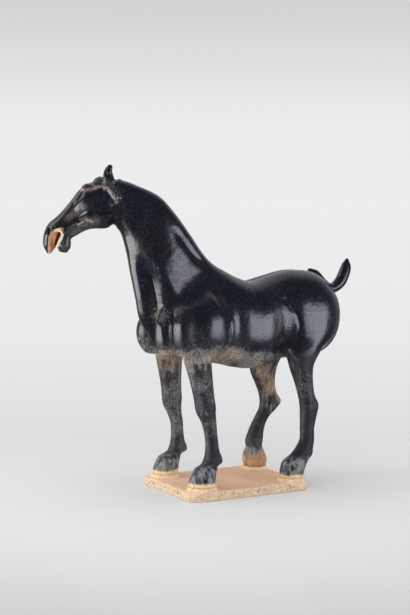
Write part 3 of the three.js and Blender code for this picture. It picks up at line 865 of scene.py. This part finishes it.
    # paler thin glaze on the cheek and jaw ridges, painted highlights along the lids, painted sheen on the
    # muzzle's side and the lower jaw
    paleAndHighlight = sum(strength * closeTo(h, lines[name], width) for name, (strength, width) in paleAndHighlightHead.items())
    paleAndHighlight = head * paleAndHighlight * ease(x, *zones["paleOut"])
    made = dict(
        mouth=inMouth, throat=throat, lip=lip, palateEdgeHighlight=palateEdgeHighlight, thin=thin, worn=worn, paleAndHighlight=paleAndHighlight,
        bare=bare, hair=head * closeTo(h, headLines["lock"], 7), legs=legs,
        hoof=1 - ease(z, *zones["hoofTop"]), rim=rim, amber=np.where(farHind, rim, 0),
    )
    return {name: np.clip(value, 0, 1) for name, value in made.items()}


masks = horseMasks(skinPoints)
stage("horse masks")

# materials


# an empty material and its node tree
def nodesOf(name):
    material = bpy.data.materials.new(name)
    material.use_nodes = True
    tree = material.node_tree
    tree.nodes.clear()
    return material, tree


# links a socket to another, or gives it a constant
def feed(socket, value):
    if hasattr(value, "is_output"):
        socket.id_data.links.new(value, socket)
    else:
        socket.default_value = value


# a node of the given kind with its settings, its inputs fed by name or by number
def add(tree, kind, inputs=None, **settings):
    node = tree.nodes.new(kind)
    for key, value in settings.items():
        setattr(node, key, value)
    for key, value in (inputs or {}).items():
        feed(node.inputs[key], value)
    return node


# a vertex attribute's value
def mask(tree, name):
    return add(tree, "ShaderNodeAttribute", attribute_name=name).outputs["Fac"]


# colour a where the factor is 0 and colour b where it is 1, in the factor's own tree
def blend(factor, a, b):
    return add(factor.id_data, "ShaderNodeMix", {0: factor, 6: a, 7: b}, data_type="RGBA").outputs[2]


# arithmetic on a socket and a second socket or number, in the first one's tree
def reckon(operation, a, b, clamp=False):
    return add(a.id_data, "ShaderNodeMath", {0: a, 1: b}, operation=operation, use_clamp=clamp).outputs[0]


kinds = ("MULTIPLY", "ADD", "SUBTRACT", "MAXIMUM")
times, plus, minus, larger = (functools.partial(reckon, kind) for kind in kinds)


# socket x factor + offset
def scaled(socket, factor, offset):
    return plus(times(socket, factor), offset)


# a value carried from one span to another, over a straight or a smooth step
def remap(value, fromLow, fromHigh, toLow, toHigh, **settings):
    ends = {0: value, 1: fromLow, 2: fromHigh, 3: toLow, 4: toHigh}
    return add(value.id_data, "ShaderNodeMapRange", ends, **settings).outputs[0]


# a group with named sockets: (name, kind, default) in, (name, kind) out
def group(name, given, made):
    tree = bpy.data.node_groups.new(name, "ShaderNodeTree")
    for label, kind, default in given:
        socket = tree.interface.new_socket(label, in_out="INPUT", socket_type=kind)
        if default is not None:
            socket.default_value = default
    for label, kind in made:
        tree.interface.new_socket(label, in_out="OUTPUT", socket_type=kind)
    return tree, tree.nodes.new("NodeGroupInput"), tree.nodes.new("NodeGroupOutput")


# patches: noise of the given scale, stretched along z, cut at the level where the wanted share of
# the surface is covered, with an edge of the given softness
patches, start, end = group(
    "wornPatches",
    [("Place", "NodeSocketVector", None), ("Scale", "NodeSocketFloat", 200.0),
     ("Stretch", "NodeSocketFloat", 1.0), ("Cover", "NodeSocketFloat", 0.3),
     ("Softness", "NodeSocketFloat", 0.08)],
    [("Mask", "NodeSocketFloat")],
)
patchNoise = dict(detail=4.0, roughness=0.6, levelForNone=0.74, levelForAll=0.30)
stretched = add(patches, "ShaderNodeCombineXYZ", {0: 1.0, 1: 1.0, 2: start.outputs["Stretch"]})
laid = add(patches, "ShaderNodeVectorMath", {0: start.outputs["Place"], 1: stretched.outputs[0]},
           operation="MULTIPLY")
grain = add(patches, "ShaderNodeTexNoise", {
    "Vector": laid.outputs[0], "Scale": start.outputs["Scale"], "Detail": patchNoise["detail"],
    "Roughness": patchNoise["roughness"],
})
cover, softness = start.outputs["Cover"], start.outputs["Softness"]
level = remap(cover, 0.0, 1.0, patchNoise["levelForNone"], patchNoise["levelForAll"], clamp=False)
grainStep = remap(grain.outputs[0], minus(level, softness), plus(level, softness), 0.0, 1.0,
                  interpolation_type="SMOOTHSTEP")
feed(end.inputs["Mask"], grainStep)


# the patches group in a material: a pattern's scale, stretch, cover and softness, or a mask as cover
def patch(place, pattern, cover=None):
    scale, stretch, share, softness = pattern
    values = {"Place": place, "Scale": scale, "Stretch": stretch, "Cover": share if cover is None else cover,
              "Softness": softness}
    return add(place.id_data, "ShaderNodeGroup", values, node_tree=patches).outputs["Mask"]


# one noise texture's value: scale, detail, roughness
def noiseOf(place, scale, detail, roughness=0.5):
    values = {"Vector": place, "Scale": scale, "Detail": detail, "Roughness": roughness}
    return add(place.id_data, "ShaderNodeTexNoise", values).outputs[0]


# the relief as a bump of the look's strength and depth
def bumped(relief, look):
    values = {"Strength": look["bumpStrength"], "Distance": look["bumpDepth"], "Height": relief}
    return add(relief.id_data, "ShaderNodeBump", values).outputs[0]


glazeLook = dict(
    deep=(0.0020, 0.0030, 0.0085, 1), brown=(0.0056, 0.0034, 0.0044, 1), fleck=(0.020, 0.026, 0.044, 1),
    legDark=(0.005, 0.007, 0.014, 1), legGrey=(0.066, 0.068, 0.080, 1), legPale=(0.22, 0.205, 0.19, 1),
    clay=(0.40, 0.315, 0.22, 1), clayDark=(0.070, 0.066, 0.066, 1), sienna=(0.25, 0.155, 0.095, 1),
    cream=(0.80, 0.60, 0.38, 1), creamDark=(0.60, 0.40, 0.23, 1), amber=(0.46, 0.23, 0.095, 1),
    hoofPale=(0.25, 0.255, 0.265, 1), palate=(0.30, 0.085, 0.022, 1), palateLight=(0.66, 0.30, 0.13, 1),
    palateRimHighlight=(0.62, 0.40, 0.30, 1), slitShadow=(0.030, 0.008, 0.003, 1), lip=(0.86, 0.70, 0.52, 1),
    paleAndHighlight=(0.33, 0.28, 0.24, 1), hair=(0.055, 0.068, 0.060, 1),
    glossy=0.21, thinRough=0.66, clayRough=0.8, ior=1.72, bumpStrength=0.5, bumpDepth=0.0005,
)
# scale, stretch along z, share covered (None where a mask gives it), softness
glazePatterns = dict(
    clouds=(22.0, 1.0, 0.5, 0.15), flecks=(240.0, 1.0, 0.42, 0.16), bloom=(45.0, 1.0, 0.5, 0.2),
    streak=(150.0, 0.12, None, 0.06), mottle=(170.0, 0.6, None, 0.12), specks=(340.0, 0.8, None, 0.06),
    hoof=(125.0, 0.5, 0.52, 0.09), clay=(250.0, 1.0, 0.45, 0.08), dots=(360.0, 0.8, None, 0.06),
    rags=(150.0, 0.7, None, 0.08), bare=(170.0, 0.25, None, 0.14), paleAndHighlight=(170.0, 1.0, 0.72, 0.14),
    hair=(260.0, 1.0, 0.6, 0.16), rim=(160.0, 1.0, 0.45, 0.12), amber=(110.0, 0.6, 0.42, 0.14),
    rimEdge=(130.0, 0.7, None, 0.2), palate=(90.0, 0.5, 0.55, 0.16), lip=(330.0, 1.0, 0.3, 0.1),
    pitted=(360.0, 1.0, None, 0.05), pitGroups=(20.0, 1.0, 0.5, 0.12),
)
# strengths, and pairs of factor and offset that turn a mask into a share covered
glazeShares = dict(
    fleckInBloom=(0.7, 0.3), streakCover=(0.75, 0.05), streak=0.95, mottle=0.65, speckCover=(0.56, 0.05),
    specks=0.8, thinGain=1.6, hoof=0.8, ragsLess=0.24, dots=0.8, rags=0.7, wornGain=5.0, bareGain=4.0,
    bare=0.9, rimCover=(0.8, 0.1), legsDull=0.85, pitCover=(0.20, 0.16), pitRough=0.24, gritOnDull=1.5,
    gritOnThin=(1.2, 0.1), peelHeight=1.4, swellHeight=3.0, clayDepth=0.5,
)
glazeNoise = dict(peel=(95.0, 3.0), grit=(620.0, 2.0), swell=(30.0, 1.0))  # scale, detail

glazeMaterial, tree = nodesOf("darkGlaze")
place = add(tree, "ShaderNodeTexCoord").outputs["Object"]
look, patterns, share = glazeLook, glazePatterns, glazeShares
names = ("thin", "worn", "legs", "bare", "rim", "amber", "throat", "lip")
thin, worn, legs, bare, rim, amber, throat, lip = (mask(tree, name) for name in names)
color = blend(patch(place, patterns["clouds"]), look["deep"], look["brown"])
bloom = scaled(patch(place, patterns["bloom"]), *share["fleckInBloom"])
color = blend(times(patch(place, patterns["flecks"]), bloom), color, look["fleck"])
# thin glaze: grey, in soft streaks that run down the legs, with fine pale specks
streakCover = scaled(thin, *share["streakCover"])
mottle = patch(place, patterns["mottle"], streakCover)
streak = times(patch(place, patterns["streak"], streakCover), share["streak"])
grey = larger(streak, times(mottle, share["mottle"]))
thinTone = blend(grey, look["legDark"], look["legGrey"])
specks = patch(place, patterns["specks"], scaled(thin, *share["speckCover"]))
thinTone = blend(times(specks, share["specks"]), thinTone, look["legPale"])
thinHere = times(thin, share["thinGain"], clamp=True)
color = blend(thinHere, color, thinTone)
# hoof: paler and greyer in uneven patches
hoofHere = times(mask(tree, "hoof"), patch(place, patterns["hoof"]))
color = blend(times(hoofHere, share["hoof"]), color, look["hoofPale"])
# worn: clay shows through as specks and ragged patches; bare: whole patches of clay
clayTone = blend(patch(place, patterns["clay"]), look["clay"], look["clayDark"])
dots = patch(place, patterns["dots"], worn)
rags = patch(place, patterns["rags"], minus(worn, share["ragsLess"]))
clayHere = larger(times(dots, share["dots"]), times(rags, share["rags"]))
clayHere = times(clayHere, times(worn, share["wornGain"], clamp=True))
bareHere = times(patch(place, patterns["bare"], bare), times(bare, share["bareGain"], clamp=True))
clayHere = larger(clayHere, times(bareHere, share["bare"]))
bareTone = blend(mottle, look["sienna"], look["clay"])
color = blend(clayHere, color, blend(bareHere, clayTone, bareTone))
# the head's hair; its paler thin glaze on the cheek and jaw ridges, and painted highlights and sheen along
# the lids, the side of the muzzle and the lower jaw
color = blend(times(mask(tree, "hair"), patch(place, patterns["hair"])), color, look["hair"])
color = blend(times(mask(tree, "paleAndHighlight"), patch(place, patterns["paleAndHighlight"])), color, look["paleAndHighlight"])
# the clay below the glaze's edge, cream on three hooves and amber on the far hind one
rimTone = blend(patch(place, patterns["rim"]), look["cream"], look["creamDark"])
amberTone = blend(patch(place, patterns["amber"]), look["amber"], look["creamDark"])
ragged = times(rim, patch(place, patterns["rimEdge"], scaled(rim, *share["rimCover"])))
color = blend(blend(amber, rim, ragged), color, blend(amber, rimTone, amberTone))
# the mouth
palate = blend(patch(place, patterns["palate"]), look["palate"], look["palateLight"])
# painted highlight: the palate's edge lighter and pinker
palate = blend(mask(tree, "palateEdgeHighlight"), palate, look["palateRimHighlight"])
color = blend(mask(tree, "mouth"), color, palate)
# painted shadow: near black in the slit at the back of the mouth
color = blend(throat, color, look["slitShadow"])
color = blend(lip, color, blend(patch(place, patterns["lip"]), look["lip"], look["creamDark"]))
# roughness: glossy glaze, duller where thin, matt on clay; fine dull pits break up what it mirrors
dull = larger(larger(larger(clayHere, rim), throat), lip)
soft = larger(thinHere, times(legs, share["legsDull"]))
rough = remap(soft, 0.0, 1.0, look["glossy"], look["thinRough"])
pitCover = scaled(patch(place, patterns["pitGroups"]), *share["pitCover"])
rough = plus(rough, times(patch(place, patterns["pitted"], pitCover), share["pitRough"]))
rough = add(tree, "ShaderNodeMix", {0: dull, 2: rough, 3: look["clayRough"]}).outputs[0]
# relief: a slightly uneven surface, and grit where the glaze is thin or gone
gritShare = plus(times(dull, share["gritOnDull"]), scaled(thinHere, *share["gritOnThin"]))
relief = times(noiseOf(place, *glazeNoise["peel"]), share["peelHeight"])
relief = plus(relief, times(noiseOf(place, *glazeNoise["grit"]), gritShare))
relief = plus(relief, times(noiseOf(place, *glazeNoise["swell"]), share["swellHeight"]))
relief = minus(relief, times(clayHere, share["clayDepth"]))
shader = add(tree, "ShaderNodeBsdfPrincipled", {
    "Base Color": color, "Roughness": rough, "IOR": look["ior"], "Normal": bumped(relief, look),
})
add(tree, "ShaderNodeOutputMaterial", {"Surface": shader.outputs[0]})

figure = meshObject("horseFigure", skinPoints, skinFaces, masks, glazeMaterial)
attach(figure, "root")
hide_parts("horse")

# the slab, with the clay pads under the hooves

slab = dict(
    halfWidth=105, halfLength=129, thickness=18, corner=12, nearCorner=23, edgeRound=2.6, edgeRoundMore=1.2,
    edgeZone=(9, 15), wallZone=(-9, -1), footZone=(1, 4), pitMost=2.4, inside=1.5, insideLeast=0.05,
    topDrop=0.5, rimDrop=0.7, rimPits=0.6, spacing=1.9, quickSpacing=3.4, upSpacing=0.8,
    sideSlope=(0.45, 0.9), rimWidth=(1.5, 9), padFrom=(17.9, 19.5), pitProbe=2.5,
    topColor=(0.88, 0.58, 0.39, 1), topShade=(0.78, 0.49, 0.32, 1), edgeColor=(0.74, 0.58, 0.42, 1),
    # the dark colour is a painted shade in the sides' hollows, and also the colour of dark crumbs
    edgeShade=(0.66, 0.47, 0.31, 1), pitShadeAndCrumbColor=(0.20, 0.12, 0.075, 1), padColor=(0.86, 0.62, 0.38, 1),
    roughness=0.82, specular=0.3, bumpStrength=0.5, bumpDepth=0.001,
)
slabPits = [(4.4, 3, 0.22, 5.5), (3.2, 4, 0.28, 3.0)]  # cell, seed, least noise, depth
# cell, seed, height
slabLumps = dict(side=[(17, 5, 1.5), (7, 6, 1.3)], top=[(46, 7, 0.5)], rim=[(9, 8, 1.3)],
                 pad=[(11, 9, 1.2), (4, 10, 0.5)])
pads = dict(
    places=[(75, -92, 28, 27), (-75, -92, 28, 27), (77, 104, 26.5, 25), (-62, 105, 25.5, 24)],  # x, y, radii
    top=24, foot=8, reach=9, flare=0.14, inFromSide=1.5, seam=3.0,
)
slabPatterns = dict(
    tone=(16.0, 1.0, 0.5, 0.2), dust=(420.0, 1.0, 0.25, 0.1), edge=(140.0, 1.0, 0.45, 0.12),
    rim=(130.0, 1.0, 0.6, 0.1), pad=(120.0, 1.0, 0.45, 0.12), specks=(300.0, 1.0, 0.24, 0.05),
)
slabShares = dict(dust=0.25, pitShadeLevel=(0.28, 0.75), specks=0.7, pitShadeAndCrumbs=0.75, specksDeep=0.6)
slabGrain = (380.0, 5.0, 0.65)  # scale, detail, roughness


# Rounded box: the distance to a rectangle with rounded corners, joined to the distance from its top
# and bottom through rounded edges, less random pits and lumps on the sides. Each pad is an oval
# cylinder, wider at its foot, that stays inside the slab's sides.
def slabField(p):
    s, z = slab, p[:, 2]
    near = (p[:, 0] > 0) & (p[:, 1] < 0)
    r = np.where(near, s["nearCorner"], s["corner"])
    qx, qy = np.abs(p[:, 0]) - s["halfWidth"] + r, np.abs(p[:, 1]) - s["halfLength"] + r
    side = np.hypot(np.maximum(qx, 0), np.maximum(qy, 0)) + np.minimum(np.maximum(qx, qy), 0) - r
    wall = ease(side, *s["wallZone"])
    pits = sum(np.maximum(lumps(p, cell, seed) - least, 0) * depth for cell, seed, least, depth in slabPits)
    worn = s["inside"] + uneven(p, slabLumps["side"])
    worn = worn + np.minimum(pits, s["pitMost"]) * ease(z, *s["footZone"])
    side = side + np.maximum(worn, s["insideLeast"])
    e = s["edgeRound"] + s["edgeRoundMore"] * ease(z, *s["edgeZone"])
    top = z - s["thickness"] + s["topDrop"] + uneven(p, slabLumps["top"])
    top = top + wall * (s["rimDrop"] + uneven(p, slabLumps["rim"]) + s["rimPits"] * pits)
    a, b = side + e, np.maximum(top, -z) + e
    d = np.minimum(np.maximum(a, b), 0) + np.hypot(np.maximum(a, 0), np.maximum(b, 0)) - e
    for x, y, rx, ry in pads["places"]:
        w = np.hypot((p[:, 0] - x) / rx, (p[:, 1] - y) / ry) + 1e-6
        flat = (w - 1) * min(rx, ry) + uneven(p, slabLumps["pad"]) - pads["flare"] * (pads["top"] - z)
        pad = np.maximum(np.maximum(flat, z - pads["top"]), pads["foot"] - z)
        pad = np.maximum(pad, side + pads["inFromSide"])
        pad = np.where((np.abs(flat) < pads["reach"]) | (flat < 0), pad, pads["reach"])
        d = softUnion(d, pad, pads["seam"])
    return np.maximum(d, -z)


space = slab["spacing"]
halfX, halfY = slab["halfWidth"], slab["halfLength"]
slabPoints, slabFaces = skinOf(
    slabField, gridLines(-halfX - 2, halfX + 2, space, []), gridLines(-halfY - 2, halfY + 2, space, []),
    gridLines(-2, pads["top"] + 4, space * slab["upSpacing"], []), block=3,
)
slabPoints = settle(slabField, slabPoints, slabFaces)
slabPoints = np.clip(slabPoints, (-halfX, -halfY, 0), (halfX, halfY, pads["top"] + 6))
slope = slopeOf(slabField, slabPoints)
slope /= np.linalg.norm(slope, axis=1, keepdims=True) + 1e-9
height, probe = slabPoints[:, 2], slab["pitProbe"]
rimDistance = np.minimum(halfX - np.abs(slabPoints[:, 0]), halfY - np.abs(slabPoints[:, 1]))
slabMasks = dict(
    side=(1 - ease(np.abs(slope[:, 2]), *slab["sideSlope"])) * (height < slab["thickness"] + 1),
    # painted shade: how much the surface closes in round a vertex, used to darken the clay in its hollows
    pitShade=np.clip(1 - inChunks(slabField, slabPoints + slope * probe) / probe, 0, 1),
    pad=ease(height, *slab["padFrom"]), rimNear=1 - ease(rimDistance, *slab["rimWidth"]),
)
stage("slab: %d vertices, %d faces" % (len(slabPoints), len(slabFaces)))

slabMaterial, tree = nodesOf("bareClay")
place = add(tree, "ShaderNodeTexCoord").outputs["Object"]
patterns, share = slabPatterns, slabShares
sideMask, rimMask = mask(tree, "side"), mask(tree, "rimNear")
topTone = blend(patch(place, patterns["tone"]), slab["topColor"], slab["topShade"])
topTone = blend(times(patch(place, patterns["dust"]), share["dust"]), topTone, slab["edgeColor"])
edgeTone = blend(patch(place, patterns["edge"]), slab["edgeColor"], slab["edgeShade"])
edgeHere = larger(sideMask, times(rimMask, patch(place, patterns["rim"])))
padTone = blend(patch(place, patterns["pad"]), slab["padColor"], slab["edgeShade"])
color = blend(mask(tree, "pad"), blend(edgeHere, topTone, edgeTone), padTone)
# painted shade in the hollows of the sides, together with dark crumbs as specks
pitShadeLevel = remap(mask(tree, "pitShade"), *share["pitShadeLevel"], 0.0, 1.0)
specks = times(patch(place, patterns["specks"]), larger(sideMask, rimMask))
pitShadeAndCrumbs = larger(times(pitShadeLevel, sideMask), times(specks, share["specks"]))
color = blend(times(pitShadeAndCrumbs, share["pitShadeAndCrumbs"]), color, slab["pitShadeAndCrumbColor"])
relief = minus(noiseOf(place, *slabGrain), times(specks, share["specksDeep"]))
shader = add(tree, "ShaderNodeBsdfPrincipled", {
    "Base Color": color, "Roughness": slab["roughness"], "Normal": bumped(relief, slab),
    "Specular IOR Level": slab["specular"],
})
add(tree, "ShaderNodeOutputMaterial", {"Surface": shader.outputs[0]})

base = meshObject("claySlab", slabPoints, slabFaces, slabMasks, slabMaterial)
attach(base, "root")
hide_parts("base_slab")

# studio

warmWhite = (1.0, 0.99, 0.98)
studio = dict(
    floorSide=3.0, floorColor=(0.80, 0.80, 0.80, 1), floorRough=0.9, floorSpecular=0.1, floorFade=(0.30, 1.0),
    aimHeight=0.33,
    # degrees round from straight ahead, degrees above level, distance, size, watts, colour, mirrored or not
    soft=dict(
        rightBox=(125, -2, 2.2, (1.51, 0.86), 14, (0.85, 0.87, 1.0), True),
        leftBox=(-11, -3, 2.2, (2.05, 1.05), 33, warmWhite, True),
        frontBox=(-20, 42, 2.4, (1.6, 1.0), 8, warmWhite, True),
        topBox=(60, 88, 2.4, (3.0, 3.0), 9, warmWhite, False),
        backBox=(165, 12, 2.2, (1.4, 0.8), 7, warmWhite, False),
        fillBox=(48, 24, 2.4, (2.0, 1.4), 9, warmWhite, False),
    ),
)
air = dict(
    backdropSpan=(-0.30, 0.17),
    backdrop=[(0.0, 0.62), (0.30, 0.74), (0.45, 0.82), (0.66, 0.85), (0.80, 0.84), (0.90, 0.73), (1.0, 0.63)],
    glowTowards=(-0.82, 0.45, 0.35), glow=(0.25, 0.9, 0.075, 0.75), ground=(-0.45, -0.15, 0.12, 0.0),
    mirroredColor=(0.90, 0.94, 1.0, 1), fillColor=(0.98, 0.99, 1.0, 1), fillStrength=0.64,
)


# a rectangular light at its distance from the horse's middle, turned to face it
def softBox(name, aim, high, distance, size, power, color, isMirrored):
    data = bpy.data.lights.new(name, "AREA")
    data.shape = "RECTANGLE"
    data.size, data.size_y = size
    data.energy = power
    data.color = color
    lamp = bpy.data.objects.new(name, data)
    a, e = math.radians(aim), math.radians(high)
    away = np.array([math.sin(a) * math.cos(e), -math.cos(a) * math.cos(e), math.sin(e)])
    lamp.location = np.array([0, 0, studio["aimHeight"]]) + away * distance
    lamp.rotation_euler = (math.pi / 2 - e, 0, a)
    lamp.visible_glossy = isMirrored
    bpy.context.scene.collection.objects.link(lamp)


for name, values in studio["soft"].items():
    softBox(name, *values)

floorMesh = bpy.data.meshes.new("studioFloor")
r = studio["floorSide"]
floorMesh.from_pydata([(-r, -r, 0), (r, -r, 0), (r, r, 0), (-r, r, 0)], [], [(0, 1, 2, 3)])
floor = bpy.data.objects.new("studioFloor", floorMesh)
bpy.context.scene.collection.objects.link(floor)
floor.visible_glossy = False
# the floor fades out with its distance from the horse, so that no horizon shows
floorMaterial, tree = nodesOf("studioPaper")
place = add(tree, "ShaderNodeTexCoord").outputs["Object"]
reach = add(tree, "ShaderNodeVectorMath", {0: place}, operation="LENGTH").outputs["Value"]
shader = add(tree, "ShaderNodeBsdfPrincipled", {
    "Base Color": studio["floorColor"], "Roughness": studio["floorRough"],
    "Specular IOR Level": studio["floorSpecular"],
    "Alpha": remap(reach, *studio["floorFade"], 1.0, 0.0, interpolation_type="SMOOTHSTEP"),
})
add(tree, "ShaderNodeOutputMaterial", {"Surface": shader.outputs[0]})
floorMesh.materials.append(floorMaterial)

world = bpy.data.worlds.new("studioAir")
bpy.context.scene.world = world
world.use_nodes = True
tree = world.node_tree
tree.nodes.clear()
towards = add(tree, "ShaderNodeTexCoord").outputs["Generated"]
up = add(tree, "ShaderNodeSeparateXYZ", {0: towards}).outputs["Z"]
ramp = add(tree, "ShaderNodeValToRGB", {0: remap(up, *air["backdropSpan"], 0.0, 1.0)})
steps = ramp.color_ramp.elements
for end, (at, level) in zip(list(steps), (air["backdrop"][0], air["backdrop"][-1])):
    end.position, end.color = at, (level, level, level, 1)
for at, level in air["backdrop"][1:-1]:
    steps.new(at).color = (level, level, level, 1)
seen = add(tree, "ShaderNodeBackground", {"Color": ramp.outputs[0], "Strength": 1.0})
# what the glaze mirrors: a dim room, brighter towards the backdrop behind the horse
behind = add(tree, "ShaderNodeVectorMath", {0: towards, 1: air["glowTowards"]}, operation="DOT_PRODUCT")
glow = remap(behind.outputs["Value"], *air["glow"], interpolation_type="SMOOTHSTEP")
ground = remap(up, *air["ground"], interpolation_type="SMOOTHSTEP")
inGlaze = add(tree, "ShaderNodeBackground", {"Color": air["mirroredColor"], "Strength": larger(glow, ground)})
fill = add(tree, "ShaderNodeBackground", {"Color": air["fillColor"], "Strength": air["fillStrength"]})
rays = add(tree, "ShaderNodeLightPath").outputs
hidden = {0: rays["Is Glossy Ray"], 1: fill.outputs[0], 2: inGlaze.outputs[0]}
hidden = add(tree, "ShaderNodeMixShader", hidden)
shown = {0: rays["Is Camera Ray"], 1: hidden.outputs[0], 2: seen.outputs[0]}
shown = add(tree, "ShaderNodeMixShader", shown)
add(tree, "ShaderNodeOutputWorld", {"Surface": shown.outputs[0]})
stage("studio")
